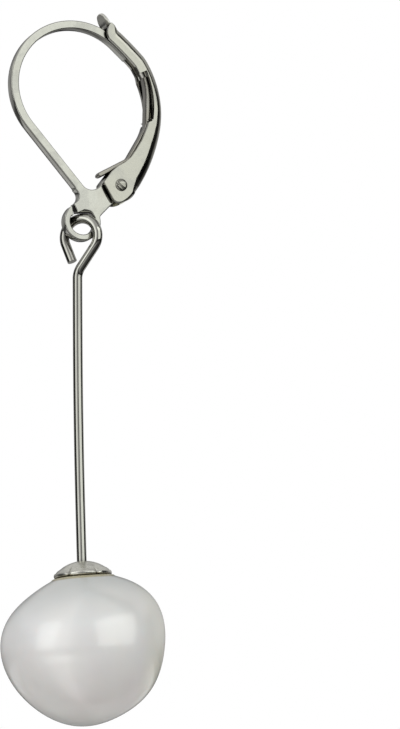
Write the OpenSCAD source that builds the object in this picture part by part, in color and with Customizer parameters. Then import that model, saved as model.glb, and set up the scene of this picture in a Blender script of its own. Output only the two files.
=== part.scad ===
// Lever-back drop earring: a stamped ear wire with a spring lever, and a baroque pearl on a long wire.
// Millimetres. The ear wire lies in the XZ plane with its front towards -Y, the pearl hangs along -Z,
// and the origin is in the middle of the ear wire where it sits in the ear, straight above the pearl.

/* [Ear wire] */
// Width of the ear wire's flat face
wire_w = 0.56; // [0.45:0.01:0.56]
// Thickness of the sheet that the ear wire, plate and eye are stamped from
sheet_t = 0.8; // [0.7:0.05:0.85]
// Radius of the hoop, to the middle of the wire
hoop_r = 4.23; // [4.1:0.01:4.25]
// How far the hoop turns down in front of the tip
tip_turn = 41.9; // [41:0.1:43]
// Length of the straight tip that lies in the lever
tip_l = 1.25; // [1:0.05:2.2]
// Radius of the easier bend that leads into the arm
arm_bend_r = 4.75; // [4.6:0.05:4.9]
// Length of the straight arm down to the plate
arm_l = 6.5; // [6.4:0.05:6.6]
// Bevel along the edges of the ear wire
edge = 0.06; // [0.03:0.01:0.1]

/* [Eye] */
// Radius of the hole in the eye
eye_hole_r = 0.86; // [0.84:0.01:0.9]
// Outer radius of the eye
eye_r = 1.27; // [1.2:0.01:1.35]
// Bevel round both mouths of the hole
eye_bevel = 0.15; // [0.12:0.01:0.18]

/* [Lever] */
// Width over both side walls
lever_w = 1.7; // [1.65:0.01:1.8]
// Thickness of the lever's sheet
lever_t = 0.26; // [0.2:0.01:0.28]
// Outer radius of the fold between back and side walls
fold_r = 0.42; // [0.38:0.01:0.46]
// Depth of the side walls above the window, where they hold the wire
grip_depth = 0.76; // [0.72:0.01:0.85]
// Depth of the side walls in the window and behind the spring
rim_depth = 0.65; // [0.6:0.01:0.68]
// Width of the thumb tab
tab_w = 1.6; // [1.4:0.05:1.7]
// Length of the thumb tab
tab_l = 0.92; // [0.85:0.01:1]

/* [Spring leaf] */
// Thickness of the leaf
leaf_t = 0.34; // [0.25:0.01:0.34]
// Width of the leaf
leaf_w = 0.8; // [0.7:0.05:1]

/* [Rivet] */
// Diameter of the rivet's shank
rivet_d = 0.5; // [0.4:0.02:0.54]
// Diameter of the rivet's heads
rivet_head_d = 0.83; // [0.7:0.01:1]
// Height of each head
rivet_head_h = 0.16; // [0.1:0.01:0.2]
// Radial clearance of the shank in the plate
rivet_play = 0.03; // [0.02:0.01:0.06]

/* [Drop wire] */
// Diameter of the round wire
drop_d = 0.64; // [0.56:0.01:0.66]
// Radius of the loop, to the middle of the wire
loop_r = 1.21; // [1.19:0.01:1.24]
// Turn of the loop's plane about the vertical, away from the plate
loop_turn = -43.5; // [-46:0.5:-42.5]
// Height of the loop's centre
loop_z = -14.26; // [-14.3:0.01:-14.1]
// How far the stem leans, in degrees
stem_lean = 0.61; // [0.5:0.01:0.7]

/* [Bead cap] */
// Radius of the cap at its rim
cap_r = 1.91; // [1.8:0.01:1.95]
// Height of the cap
cap_h = 1.04; // [0.95:0.01:1.1]
// Thickness of the cap
cap_t = 0.2; // [0.15:0.01:0.24]
// How far the cap leans where it sits on the pearl, in degrees
cap_lean = 4; // [2:0.5:5]
// Number of petals
petals = 6; // [5:1:8]
// Height of the notch between two petals
notch_h = 0.5; // [0.3:0.05:0.6]

/* [Pearl] */
// Mean radius of the pearl
pearl_r = 5.12; // [5:0.01:5.15]
// Height of the pearl's centre
pearl_z = -41.54; // [-41.7:0.01:-41.5]
// Depth of the pearl from front to back, as a share of its width
pearl_depth = 0.97; // [0.9:0.01:1]
// Diameter of the hole that is drilled half way
drill_d = 0.8; // [0.76:0.01:0.9]
// Facets round the pearl
pearl_facets = 48; // [24:12:60]

/* [Hidden] */
$fn = 64;
cut = 0.2; // how far a cutter reaches past what it cuts

// Places in the plane of the hook are [x, z]
hoop_top = [-0.42, 0.03];
eye = [0, -13.31];
pivot = [2.55, -10.78];

// Ear wire, from the top of the hoop: rows of [straight run, bend radius, turn]
to_tip = [[0, hoop_r, tip_turn], [tip_l, 0, 0]];
to_plate = [[0, hoop_r, -100], [0, arm_bend_r, -30.6], [arm_l, 0, 0]];
// Each run laps into the next one by an angle, and the next one is this much wider to both sides
wire_lap = 2;
wire_flare = 0.006;

// Plate: its outline, the round hollows on both sides of its neck, and the tang that the lever turns on
plate_outline = [
    [-0.3, -10.9], [0, -10.75], [0.6, -11.05], [1.15, -10.8], [1.2, -10.66], [1.62, -10.25],
    [2.25, -10.2], pivot, [2.24, -11.54], [2.11, -11.97], [1.24, -12.87], [1.1, -13.31],
    [0, -12.2], [-0.76, -12.24], [-0.95, -11.6],
];
throat = [0.62, -10.34];
throat_r = 0.78;
waist = [-0.81, -11.62];
waist_r = 0.55;
tang_r = 0.68;
// The slit where the eye's strip ends, seen from the eye's centre
slit = [[-0.66, 0.46], [-0.39, 0.7], [-0.92, 1.24], [-0.97, 1.19]];

// Lever, along its outer face from the foot of the tab: rows of [straight run, radius, turn, wall depth]
tab_foot = [1.93, 0.26];
tab_heading = -60;
back_heading = -37.7;
back_r = 11.16;
lever_path = [
    [0, 20.7, 8.6, grip_depth],
    [0, 1.95, 12.6, grip_depth],
    [0, 6.82, 4.7, grip_depth],
    [0, 6.82, 38, rim_depth],
    [0, back_r, 22.2, rim_depth],
];
back_centre = [-5.593, -4.823];
// Side walls below the window: their edge down and round the heel, and a line behind the back
wall_edge = [
    [5.01, -6.13], [4.54, -6.35], [4.39, -6.79], [4.03, -7.63], [3.6, -8.34], [3.25, -8.84],
    [2.82, -9.21], [2.32, -9.51], [1.9, -9.88], [1.33, -10.65], [1.9, -11.62], [2.04, -11.84],
    [2.25, -11.96], [2.54, -11.95], [3, -11.74], [3.25, -11.5], [3.42, -11.2], [3.3, -10.9],
];
wall_back = [[5.5, -9], [5.5, -6.13]];

// Spring leaf, from its tongue up into the window
tongue_start = [1.29, -10.03];
tongue_heading = 29;
leaf_path = [[2.05, 0.8, -31], [2.15, 1.2, -28], [1.7, 4, -14], [0.5, 0, 0]];

// Drop wire, from the foot of the peg up, round the loop and down to the free end
loop_open = 37;
free_turn = 22;
neck_r = 1.2;
neck_s = -0.28;
peg_z = -40.2;
leg_reach = (loop_r * cos(loop_open) - neck_s) / sin(loop_open);
neck_z = loop_z - loop_r * sin(loop_open) - leg_reach * cos(loop_open);
neck_bend = neck_r * tan((loop_open + stem_lean) / 2);
drop_path = [
    [neck_z - neck_bend - peg_z, neck_r, loop_open + stem_lean],
    [leg_reach - neck_bend, loop_r, -(180 + loop_open + free_turn)],
    [1.27, 0, 0],
];
function stem_s(z) = neck_s + (neck_z - z) * tan(stem_lean);

// Bead cap: the sphere that its dome is part of
cap_top = -35.72;
dome_r = (cap_r * cap_r + cap_h * cap_h) / (2 * cap_h);
cap_seat = 0.05; // how far the pearl stays clear of the cap and the cap of the wire
// The side of the drop that faces front left, which the petals and the pearl's outline are set by
face_turn = -108.5;

// Pearl: swellings round its outline, seen from that side: rows of [lobes, height, direction]
swellings = [
    [1, 0.217, 61],
    [2, 0.232, 17.2],
    [3, 0.133, 44.7],
    [4, 0.02, -2.6],
    [5, 0.059, 33.9],
    [6, 0.031, -24],
];

function swell(row, across, angle) = row[1] * pow(across, row[0]) * cos(row[0] * (angle - row[2]));
function sum(list, i = 0) = i < len(list) ? list[i] + sum(list, i + 1) : 0;
// Distance of the pearl's surface in a direction given by its longitude and latitude
function pearl_reach(lon, lat) =
    let (
        side = cos(lat) * sin(lon - face_turn),
        depth = cos(lat) * cos(lon - face_turn),
        up = sin(lat),
        across = sqrt(side * side + up * up),
        angle = atan2(up, side)
    )
    (pearl_r + sum([for (row = swellings) swell(row, across, angle)]))
    * (1 - (1 - pearl_depth) * depth * depth);
function on_pearl(lon, lat) =
    pearl_reach(lon, lat) * [cos(lat) * cos(lon), cos(lat) * sin(lon), sin(lat)];

// Starts a path at a place in the XZ plane; headings are measured from +X towards +Z
module start_at(place, heading) {
    translate([place[0], 0, place[1]]) rotate([0, 90 - heading, 0]) children();
}

// Sweeps a section along rows of straight runs and bends; $row tells the section which row it is on,
// and a lap carries each bend on into the next row
module follow(path, lap = 0, i = 0) {
    $row = i;
    run = path[i][0];
    bend = path[i][1];
    turn = path[i][2];
    side = sign(turn);
    if (run > 0)
        linear_extrude(run) children();
    translate([0, 0, run]) {
        if (bend > 0)
            translate([side * bend, 0, 0]) mirror([side > 0 ? 1 : 0, 0, 0]) rotate([90, 0, 0])
                rotate_extrude(angle = abs(turn) + lap, $fn = 120)
                    translate([bend, 0]) mirror([side > 0 ? 1 : 0, 0]) children();
        if (i + 1 < len(path))
            translate([side * bend, 0, 0]) rotate([0, turn, 0]) translate([-side * bend, 0, 0])
                follow(path, lap, i + 1) children();
    }
}

// A flat outline in the XZ plane, made solid to both sides
module plate_of(thickness) {
    rotate([90, 0, 0]) linear_extrude(thickness, center = true) children();
}

module wire_section() {
    x = wire_w / 2 + $row * wire_flare;
    y = sheet_t / 2;
    polygon([
        [x - edge, -y], [x, edge - y], [x, y - edge], [x - edge, y],
        [edge - x, y], [-x, y - edge], [-x, edge - y], [edge - x, -y],
    ]);
}

module plate_shape() {
    difference() {
        polygon(plate_outline);
        translate(throat) circle(r = throat_r);
        translate(waist) circle(r = waist_r);
    }
    translate(pivot) circle(r = tang_r);
}

// The hole in the eye with both its mouths bevelled
module eye_hole() {
    half = sheet_t / 2;
    r = eye_hole_r;
    b = eye_bevel;
    rotate([90, 0, 0]) rotate_extrude()
        polygon([
            [0, -half - cut], [r + b + cut, -half - cut], [r, b - half], [r, half - b],
            [r + b + cut, half + cut], [0, half + cut],
        ]);
}

module ear_hook() {
    color("silver") difference() {
        union() {
            start_at(hoop_top, 0) follow(to_tip, wire_lap) wire_section();
            start_at(hoop_top, 180) follow(to_plate, wire_lap) wire_section();
            plate_of(sheet_t) plate_shape();
            translate([eye[0], 0, eye[1]]) rotate([90, 0, 0])
                cylinder(h = sheet_t, r = eye_r, center = true);
        }
        translate([eye[0], 0, eye[1]]) eye_hole();
        translate([eye[0], 0, eye[1]]) plate_of(sheet_t + 2 * cut) polygon(slit);
        translate([pivot[0], 0, pivot[1]]) rotate([90, 0, 0])
            cylinder(h = sheet_t + 2 * cut, d = rivet_d + 2 * rivet_play, center = true);
    }
}

// A rectangle from x = inset to x = depth with two round corners on its near side
module round_backed(inset, depth, width, r) {
    translate([inset + r, -width / 2]) square([depth - inset - r, width]);
    translate([inset, r - width / 2]) square([depth - inset, width - 2 * r]);
    for (y = [r - width / 2, width / 2 - r])
        translate([inset + r, y]) circle(r = r);
}

// The folded channel seen along its length
module channel_section() {
    depth = lever_path[$row][3];
    difference() {
        round_backed(0, depth, lever_w, fold_r);
        round_backed(lever_t, depth + cut, lever_w - 2 * lever_t, fold_r - lever_t);
    }
}

// One side wall from the window down to the heel
module wall_shape() {
    intersection() {
        polygon(concat(wall_edge, wall_back));
        union() {
            translate(back_centre) circle(r = back_r - (fold_r + rim_depth) / 2, $fn = 180);
            translate(pivot) circle(r = 1.35);
        }
    }
}

module thumb_tab() {
    rotate([0, 90, 0]) linear_extrude(lever_t)
        intersection() {
            translate([tab_l - tab_w / 2, 0]) circle(d = tab_w);
            translate([-0.15, -tab_w / 2]) square([tab_l + cut, tab_w]);
        }
}

module lever() {
    color("lightgray") difference() {
        union() {
            start_at(tab_foot, back_heading) follow(lever_path) channel_section();
            start_at(tab_foot, tab_heading) thumb_tab();
            for (side = [-1, 1])
                translate([0, side * (lever_w - lever_t) / 2, 0]) plate_of(lever_t) wall_shape();
        }
        translate([pivot[0], 0, pivot[1]]) rotate([90, 0, 0])
            cylinder(h = lever_w + 2 * cut, d = rivet_d + 0.02, center = true);
    }
}

module spring_leaf() {
    color("gainsboro") start_at(tongue_start, tongue_heading) {
        follow(leaf_path) square([leaf_t, leaf_w], center = true);
        rotate([90, 0, 0]) cylinder(h = leaf_w, d = leaf_t, center = true);
    }
}

module rivet() {
    r = rivet_d / 2;
    head = rivet_head_d / 2;
    face = lever_w / 2 + 0.01;
    top = face + rivet_head_h;
    dish = 0.04;
    color("silver") translate([pivot[0], 0, pivot[1]]) rotate([90, 0, 0]) rotate_extrude()
        polygon([
            [0, dish - top], [head * 0.55, dish - top], [head * 0.7, -top], [head * 0.85, -top],
            [head, -face - dish], [head, -face], [r, -face], [r, face], [head, face],
            [head, face + dish], [head * 0.85, top], [head * 0.7, top], [head * 0.55, top - dish],
            [0, top - dish],
        ]);
}

module drop_wire() {
    color("silver") rotate([0, 0, loop_turn])
        start_at([stem_s(peg_z), peg_z], 90 + stem_lean) follow(drop_path) circle(d = drop_d);
}

// Puts the cap's round parts on the stem, leaning towards the face
module on_stem() {
    rotate([0, 0, loop_turn]) translate([stem_s(cap_top), 0, cap_top]) rotate([0, 0, -loop_turn])
        rotate(a = cap_lean, v = [cos(face_turn), sin(face_turn), 0]) children();
}

// Half a section through the dome, from its top at the origin down; grown for the seat in the pearl
module dome_section(grow = 0) {
    intersection() {
        translate([0, -dome_r]) difference() {
            circle(r = dome_r + grow, $fn = 120);
            circle(r = dome_r - cap_t - grow, $fn = 120);
        }
        translate([drop_d / 2 + cap_seat, -cap_h - grow]) square([cap_r + cut, cap_h + cut]);
    }
}

module bead_cap() {
    color("silver") on_stem() difference() {
        rotate_extrude() dome_section();
        for (i = [0 : petals - 1])
            rotate([0, 0, face_turn + (i + 0.5) * 360 / petals])
                translate([cap_r * 0.6, 0, -cap_h]) rotate([90, 0, 90])
                    linear_extrude(cap_r * 0.6)
                        polygon([[-0.3, -cut], [0.3, -cut], [0.06, notch_h], [-0.06, notch_h]]);
    }
}

module pearl() {
    rings = pearl_facets / 2;
    step = 360 / pearl_facets;
    rim = [for (j = [1 : rings - 1]) for (i = [0 : pearl_facets - 1]) on_pearl(i * step, j * step - 90)];
    points = concat([on_pearl(0, -90)], rim, [on_pearl(0, 90)]);
    last = len(points) - 1;
    function at(i, j) = 1 + (j - 1) * pearl_facets + i % pearl_facets;
    faces = concat(
        [for (i = [0 : pearl_facets - 1]) [0, at(i, 1), at(i + 1, 1)]],
        [for (j = [1 : rings - 2]) for (i = [0 : pearl_facets - 1]) [at(i, j), at(i, j + 1), at(i + 1, j)]],
        [for (j = [1 : rings - 2]) for (i = [0 : pearl_facets - 1])
            [at(i + 1, j), at(i, j + 1), at(i + 1, j + 1)]],
        [for (i = [0 : pearl_facets - 1]) [at(i, rings - 1), last, at(i + 1, rings - 1)]]
    );
    color("ivory") difference() {
        translate([0, 0, pearl_z]) polyhedron(points = points, faces = faces);
        rotate([0, 0, loop_turn]) translate([stem_s(peg_z), 0, peg_z - cut])
            cylinder(h = -peg_z + cap_top + cut, d = drill_d);
        on_stem() rotate_extrude() dome_section(cap_seat);
    }
}

ear_hook();
lever();
spring_leaf();
rivet();
drop_wire();
bead_cap();
pearl();
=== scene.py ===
# %% [markdown]
# # A lever-back pearl drop earring
# The clasp is sheet metal: the ear wire is stamped out of flat silver, and the lever is folded from thinner
# sheet. The drop is wire work: a long round wire with a loop at its top, a petalled bead cap, and a baroque
# pearl that is glued on the end of the wire.
#
# The construction model gives every size. This script loads it as a fixed frame and makes each piece again
# the way its maker would, with softened edges, rolled rims and a nacre surface. Each piece rides on the
# body that it belongs to, so the lever still opens and the drop still swings.

from math import ceil, copysign, cos, exp, pi, radians, sin, tan

import bmesh
import bpy
import numpy as np
from mathutils import Matrix, Vector
from mathutils.bvhtree import BVHTree
from mathutils.geometry import delaunay_2d_cdt


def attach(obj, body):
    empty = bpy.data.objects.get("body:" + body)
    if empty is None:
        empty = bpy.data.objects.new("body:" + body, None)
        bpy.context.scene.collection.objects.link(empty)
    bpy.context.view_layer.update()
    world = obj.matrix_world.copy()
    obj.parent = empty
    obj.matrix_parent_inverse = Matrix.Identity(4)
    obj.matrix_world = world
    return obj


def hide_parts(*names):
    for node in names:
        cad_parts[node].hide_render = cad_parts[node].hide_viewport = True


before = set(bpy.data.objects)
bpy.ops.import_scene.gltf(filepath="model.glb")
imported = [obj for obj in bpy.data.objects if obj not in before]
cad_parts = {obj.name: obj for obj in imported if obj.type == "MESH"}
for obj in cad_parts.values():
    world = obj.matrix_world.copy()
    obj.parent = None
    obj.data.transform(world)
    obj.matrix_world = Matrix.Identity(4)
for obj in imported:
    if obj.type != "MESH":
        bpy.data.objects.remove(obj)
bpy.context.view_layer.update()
MM = 0.001
columns = np.column_stack

# %% [markdown]
# ## The camera
# The photograph looks slightly up at the earring from its front left, through a long lens. A camera can be
# placed by eye or solved from known points. Here the solved angles are plain numbers, and the camera is
# also turned round its own axis by its roll. The focal length is in picture heights, so it holds for a
# sensor of any size.

# %% Camera
AZIMUTH, ELEVATION, ROLL = -20.75, -8.5, radians(-0.65)
TARGET = np.array([8.317, 0.036, -22.445]) * MM
DISTANCE = 200 * MM
NEAREST, FARTHEST = 0.01, 10
FOCAL_IN_PIXELS, PHOTO_HEIGHT = 3000, 729
SENSOR = 36


def placed(name, data):
    """A new object in the scene."""
    made = bpy.data.objects.new(name, data)
    scene.collection.objects.link(made)
    return made


def seen_from(azimuth, elevation):
    """The direction from the earring to a viewer; azimuth 0 is in front of it, 90 on its +X side."""
    a, e = radians(azimuth), radians(elevation)
    return np.array([sin(a) * cos(e), -cos(a) * cos(e), sin(e)])


scene = bpy.context.scene
back = seen_from(AZIMUTH, ELEVATION)
level = np.array([cos(radians(AZIMUTH)), sin(radians(AZIMUTH)), 0])
above = np.cross(back, level)
right = level * cos(ROLL) + above * sin(ROLL)
up = above * cos(ROLL) - level * sin(ROLL)
camera = placed("camera", bpy.data.cameras.new("camera"))
camera.data.sensor_width = SENSOR
camera.data.lens = SENSOR * (FOCAL_IN_PIXELS / PHOTO_HEIGHT)
camera.data.clip_start, camera.data.clip_end = NEAREST, FARTHEST
turned = columns([right, up, back])
camera.matrix_world = Matrix.LocRotScale(Vector(TARGET + back * DISTANCE), Matrix(turned.tolist()), None)
scene.camera = camera
print("camera at", [round(x, 4) for x in camera.location])

# %% [markdown]
# ## Floor and light
# Polished metal shows the room that it is in. Jewellery is shot in a white tent, where the faces turn pale
# and the dark gaps between the panels draw thin black lines along the edges. Small lamps would give specks,
# so two large soft panels stand in front of the piece, and two wide fills light the pearl from the sides
# without showing in the metal. The world gives the tent itself.

# %% Floor
FLOOR_Z, FLOOR_R, FLOOR_SIDES = -0.085, 0.5, 128


def new_finish(name):
    """A material, its tree and its Principled BSDF."""
    finish = bpy.data.materials.new(name)
    finish.use_nodes = True
    return finish, finish.node_tree, finish.node_tree.nodes["Principled BSDF"]


floor_mesh = bpy.data.meshes.new("floor")
floor_turns = [2 * pi * k / FLOOR_SIDES for k in range(FLOOR_SIDES)]
floor_mesh.from_pydata(
    [(FLOOR_R * cos(a), FLOOR_R * sin(a), FLOOR_Z) for a in floor_turns], [], [range(FLOOR_SIDES)]
)
floor = placed("floor", floor_mesh)
floor_finish, _, floor_look = new_finish("pale floor")
floor_look.inputs["Base Color"].default_value = (0.86, 0.86, 0.85, 1)
floor_look.inputs["Roughness"].default_value = 0.8
floor.data.materials.append(floor_finish)
# Metal would show the pale floor in its lower edges, where the real one shows the dark under the tent
floor.visible_glossy = False
print("floor", FLOOR_R, "m round, at", FLOOR_Z)

# %% Light panels
FACED = Vector((0, 0, -0.03))
PANEL_TINT = (0.975, 1, 0.965)


def panel(name, azimuth, elevation, distance, size, brightness, mirrored=True):
    """A soft panel that faces the earring, at a distance in metres."""
    away = Vector(seen_from(azimuth, elevation))
    light = bpy.data.lights.new(name, "AREA")
    light.shape = "RECTANGLE"
    light.size, light.size_y = size
    light.energy = brightness * pi * size[0] * size[1]
    if mirrored:
        light.color = PANEL_TINT
    holder = placed(name, light)
    holder.location = FACED + away * distance
    holder.rotation_euler = away.to_track_quat("Z", "Y").to_euler()
    holder.visible_camera = False
    holder.visible_glossy = mirrored


panel("left panel", -70, 17, 0.5, (0.24, 0.38), 0.8)
panel("right panel", 26, 18, 0.5, (0.54, 0.40), 1.03)
panel("left fill", -80, 0, 0.8, (1, 1), 1.3, mirrored=False)
panel("right fill", 62, 4, 0.8, (1, 1), 0.7, mirrored=False)
print(len(bpy.data.lights), "panels")

# %% [markdown]
# Shader trees, Geometry Nodes trees and the world are all nodes with links. Three helpers write them as
# sentences: one sets a node's inputs, one adds a node, and one does sums.

# %% Node helpers
def filled(tree, node, inputs):
    """Sets a node's inputs, each a value or a socket to link, and gives its outputs."""
    for label, value in inputs.items():
        if isinstance(value, bpy.types.NodeSocket):
            tree.links.new(value, node.inputs[label])
        else:
            node.inputs[label].default_value = value
    return node.outputs


def added(tree, kind, inputs={}, **settings):
    """The outputs of a new shader or geometry node with some settings and inputs."""
    family = "ShaderNode" if hasattr(bpy.types, "ShaderNode" + kind) else "GeometryNode"
    node = tree.nodes.new(family + kind)
    for label, value in settings.items():
        setattr(node, label, value)
    return filled(tree, node, inputs)


def sums(tree, operation, *values):
    """What a Math node makes of sockets and plain numbers."""
    return added(tree, "Math", dict(enumerate(values)), operation=operation)[0]


# %% [markdown]
# The tent is a world shader that is told by direction alone. One ramp runs round the horizon and one from
# the floor to the roof; their product is the light of the walls. The roof is a light of its own with a gap
# in it, which draws the dark line along the lever's back. Rays from the camera see white paper instead.

# %% The tent
TENT_ROUND = [
    [-180, 0.1], [-160, 0.1], [-145, 0.2], [-112, 0.1], [-104, 0.01], [-76, 0.01], [-66, 0.06], [-38, 0.4],
    [-22, 0.48], [-10, 0.17], [10, 0.13], [22, 0.05], [70, 0.03], [76, 0.01], [106, 0.01], [133, 0.22],
    [160, 0.26], [180, 0.1],
]
TENT_UP = [
    [-1, 0.9], [-0.44, 0.8], [-0.34, 1.5], [-0.24, 1.5], [-0.18, 0.2], [-0.06, 0.2], [0, 0.75], [0.1, 1],
    [1, 1],
]
ROOF = [[0.3, 0], [0.55, 0.28], [1, 0.28]]
ROOF_GAP = [[-180, 1], [60, 1], [70, 0.1], [90, 0.1], [102, 1], [180, 1]]
TENT_STRENGTH = 1.7


def ramp(tree, share, span, stops):
    """A ramp over a share from 0 to 1, with rows of [place in a span about 0, brightness]."""
    light = added(tree, "ValToRGB", {0: share})[0]
    colours = light.node.color_ramp
    colours.interpolation = "EASE"
    while len(colours.elements) < len(stops):
        colours.elements.new(0.5)
    for element, (place, value) in zip(colours.elements, stops):
        element.position = 0.5 + place / span
        element.color = (value, value, value, 1)
    return light


world = bpy.data.worlds.new("light tent")
scene.world = world
world.use_nodes = True
tent = world.node_tree
direction = added(tent, "TexCoord")["Generated"]
faced = added(
    tent, "VectorRotate", {"Vector": direction, "Angle": radians(-AZIMUTH)}, rotation_type="Z_AXIS"
)[0]
rightwards, forwards, upwards = added(tent, "SeparateXYZ", {0: faced})
round_angle = sums(tent, "ARCTAN2", rightwards, sums(tent, "MULTIPLY", forwards, -1))
round_share = sums(tent, "MULTIPLY_ADD", round_angle, 0.5 / pi, 0.5)
height_share = sums(tent, "MULTIPLY_ADD", upwards, 0.5, 0.5)
round_tent, roof_gap = (ramp(tent, round_share, 360, rows) for rows in (TENT_ROUND, ROOF_GAP))
up_tent, roof = (ramp(tent, height_share, 2, rows) for rows in (TENT_UP, ROOF))
walls, roof_light = sums(tent, "MULTIPLY", round_tent, up_tent), sums(tent, "MULTIPLY", roof, roof_gap)
tent_light = sums(tent, "MAXIMUM", walls, roof_light)
background = filled(tent, tent.nodes["Background"], {"Color": tent_light, "Strength": TENT_STRENGTH})
paper = added(tent, "Background", {"Color": (1, 1, 1, 1)})
to_camera = added(tent, "LightPath")["Is Camera Ray"]
either = added(tent, "MixShader", {0: to_camera, 1: background[0], 2: paper[0]})
filled(tent, tent.nodes["World Output"], {"Surface": either[0]})
scene.view_settings.view_transform = "Standard"
print("tent:", len(tent.nodes), "nodes")

# %% [markdown]
# ## Finishes
# The silver was polished by hand and then plated, so it is bright but no mirror: fine lines run one way, a
# soft haze comes and goes, and some spots stay browner. All metal pieces need these marks, so they are one
# node group that gives masks and a height, and each finish keeps its own shader.

# %% Polishing marks, as a group
LINES_PER_M, HAZE_PER_M, DENTS_PER_M = 9000.0, 700.0, 1600


def group_of(name, kind, inputs, outputs):
    """An empty node group; its inputs and outputs are rows of [name, kind, value if it has one]."""
    group = bpy.data.node_groups.new(name, kind)
    for way, rows in (("INPUT", inputs), ("OUTPUT", outputs)):
        for label, sort, *value in rows:
            socket = group.interface.new_socket(label, in_out=way, socket_type="NodeSocket" + sort)
            if value:
                socket.default_value = value[0]
    return group, group.nodes.new("NodeGroupInput"), group.nodes.new("NodeGroupOutput")


def noise(tree, vector, scale, detail, rough):
    values = {"Vector": vector, "Scale": scale, "Detail": detail, "Roughness": rough}
    return added(tree, "TexNoise", values)["Fac"]


def between(tree, value, low, high, to_low=0.0, to_high=1.0):
    """How far a value is from low to high, told from to_low to to_high."""
    values = {"Value": value, "From Min": low, "From Max": high, "To Min": to_low, "To Max": to_high}
    return added(tree, "MapRange", values)["Result"]


polish, polish_in, polish_out = group_of(
    "Polishing marks", "ShaderNodeTree",
    [["Vector", "Vector"], ["Line Scale", "Float", LINES_PER_M], ["Haze Scale", "Float", HAZE_PER_M]],
    [["Haze", "Float"], ["Tarnish", "Float"], ["Lines", "Float"]],
)
polish_spot, line_scale, haze_scale = (polish_in.outputs[k] for k in ("Vector", "Line Scale", "Haze Scale"))
haze = noise(polish, polish_spot, haze_scale, 3, 0.55)
blots = noise(polish, polish_spot, sums(polish, "MULTIPLY", haze_scale, 0.6), 5, 0.6)
filled(polish, polish_out, {
    "Haze": between(polish, haze, 0.35, 0.7), "Tarnish": between(polish, blots, 0.55, 0.8),
    "Lines": noise(polish, polish_spot, line_scale, 4, 0.6),
})
print("polishing marks:", [item.name for item in polish.interface.items_tree])

# %% [markdown]
# A finish mixes those marks into the silver's own colour and roughness. Where two pieces nearly touch, an
# Ambient Occlusion node finds the gap, and there the colour is darkened almost to black as painted shade.
# Shallow dents bend the reflections a little. The thumb tab is the highest part of the lever: there the thumb
# has rubbed the polish to satin, and a paler colour paints light on it.

# %% Silver finishes
# The third colour is painted shade, the near-black that narrow gaps are darkened to.
TARNISH, CLOUD, PAINTED_SHADE = (0.42, 0.39, 0.32, 1), (0.43, 0.425, 0.4, 1), (0.03, 0.025, 0.025, 1)
# A pale colour that paints light on the thumb tab.
TAB_PAINTED_LIGHT = (0.95, 0.94, 0.87, 1)
TAB_FROM, TAB_UP_TO = 0.25 * MM, 0.45 * MM
LINE_DEPTH = 0.002


def mixed(tree, share, first, second):
    """A colour between two: each is a colour or a socket."""
    return added(tree, "Mix", {0: share, 6: first, 7: second}, data_type="RGBA")[2]


def bumped(tree, height, strength, depth, below={}):
    """The normal that a height gives, with its depth in mm."""
    values = {"Height": height, "Strength": strength, "Distance": depth * MM, **below}
    return added(tree, "Bump", values)["Normal"]


def silver(name, rough, bright, stretch=(1, 1, 1), dents=0.003, shade_reach=0.5, satin=0):
    """Silver whose lines run along the axis that stretch makes small, with dents and painted shade in gaps,
    in mm.

    satin is added to the roughness at the thumb tab's height, where a paler colour also paints light.
    """
    finish, tree, look = new_finish(name)
    spot = added(tree, "TexCoord")["Object"]
    place = added(tree, "Mapping", {"Vector": spot, "Scale": stretch})[0]
    scales = {"Line Scale": LINES_PER_M, "Haze Scale": HAZE_PER_M}
    marks = added(tree, "Group", {"Vector": place, **scales}, node_tree=polish)
    roughness = between(tree, marks["Haze"], 0, 1, *rough)
    tone = mixed(tree, sums(tree, "MULTIPLY", marks["Tarnish"], 0.5), bright, TARNISH)
    streaks = between(tree, marks["Lines"], 0.4, 0.6, 0, 0.2)
    cloudy = sums(tree, "ADD", between(tree, marks["Haze"], 0.38, 0.62, 0, 0.35), streaks)
    tone = mixed(tree, cloudy, tone, CLOUD)
    if satin:
        height = added(tree, "SeparateXYZ", {0: spot})["Z"]
        on_tab = between(tree, height, TAB_FROM, TAB_UP_TO)
        roughness = sums(tree, "MULTIPLY_ADD", on_tab, satin, roughness)
        # Painted light: the tab's colour is made paler so that it looks brighter.
        tone = mixed(tree, on_tab, tone, TAB_PAINTED_LIGHT)
    # Painted shade: where the Ambient Occlusion node finds other surfaces close by, the colour turns almost
    # black.
    openness = added(tree, "AmbientOcclusion", {"Distance": shade_reach * MM}, samples=6)["AO"]
    tone = mixed(tree, between(tree, openness, 0.74, 0.34, 0, 0.94), tone, PAINTED_SHADE)
    normal = bumped(tree, noise(tree, place, DENTS_PER_M, 2, 0.5), 1, dents)
    normal = bumped(tree, marks["Lines"], 0.5, LINE_DEPTH, {"Normal": normal})
    filled(tree, look, {"Base Color": tone, "Roughness": roughness, "Metallic": 1, "Normal": normal})
    return finish


PLATED = (0.622, 0.618, 0.562, 1)
stamped_silver = silver("stamped silver", (0.06, 0.13), PLATED)
folded_silver = silver("folded silver", (0.07, 0.17), (0.562, 0.554, 0.488, 1), dents=0.012, satin=0.3)
# The spring leaf's silver is darker than the rest: painted shade, as the leaf sits inside the channel.
shaded_leaf_silver = silver("spring leaf silver", (0.12, 0.25), (0.38, 0.36, 0.315, 1), dents=0.006)
drawn_silver = silver("drawn silver wire", (0.05, 0.1), PLATED, stretch=(1, 1, 0.06), dents=0.001)
rivet_silver = silver("rivet silver", (0.09, 0.2), (0.42, 0.415, 0.36, 1))
cap_silver = silver("cap silver", (0.24, 0.36), (1, 0.99, 0.9, 1), shade_reach=0.15)
print("finishes:", [finish.name for finish in bpy.data.materials])
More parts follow.
